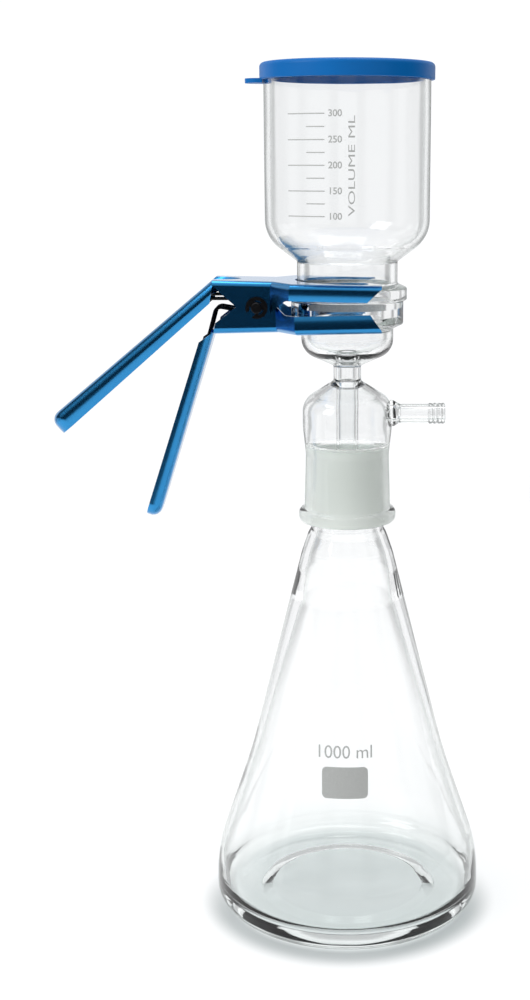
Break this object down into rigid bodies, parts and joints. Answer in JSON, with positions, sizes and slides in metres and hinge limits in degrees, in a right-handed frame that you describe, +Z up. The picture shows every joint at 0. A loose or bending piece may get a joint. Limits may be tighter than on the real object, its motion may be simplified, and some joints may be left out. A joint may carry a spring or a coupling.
{
  "type": "vacuum filtration unit",
  "caption": "Glass vacuum filtration unit: conical receiver flask, filter base with side arm, graduated funnel with push-on lid, held together by a sprung clamp.",
  "frame": {"origin": "centre of the ring that the flask stands on", "axes": "+Z up the common axis of the glassware, +X out along the vacuum side arm"},
  "size_m": [0.2037, 0.131, 0.4083],
  "materials": {
    "clear_glass": "clear, with frosted ground joint and grey-white printing",
    "sintered_glass": "matt sintered",
    "blue_plastic": "satin moulded",
    "blue_aluminium": "blue anodised, satin",
    "black_steel": "black oxide"
  },
  "bodies": {
    "stand": {"flask": "clear_glass", "filter_base": "clear_glass", "frit_disc": "sintered_glass", "funnel": "clear_glass", "upper_jaw": "blue_aluminium", "pivot_pin": "black_steel", "retaining_clip": "black_steel", "torsion_spring": "black_steel"},
    "lower_jaw": {"lower_jaw": "blue_aluminium"},
    "lid": {"lid": "blue_plastic"}
  },
  "joints": [
    {"name": "jaw_hinge", "type": "hinge", "parent": "stand", "child": "lower_jaw", "pos_m": [-0.0414, 0, 0.29901], "axis": [0, 1, 0], "range_deg": [0, 20], "stiffness_Nm_per_rad": 1.5, "springref_deg": -57.3, "deforming": ["torsion_spring"]},
    {"name": "lid_lift", "type": "slide", "parent": "stand", "child": "lid", "axis": [0, 0, 1], "range_m": [0, 0.03]}
  ]
}
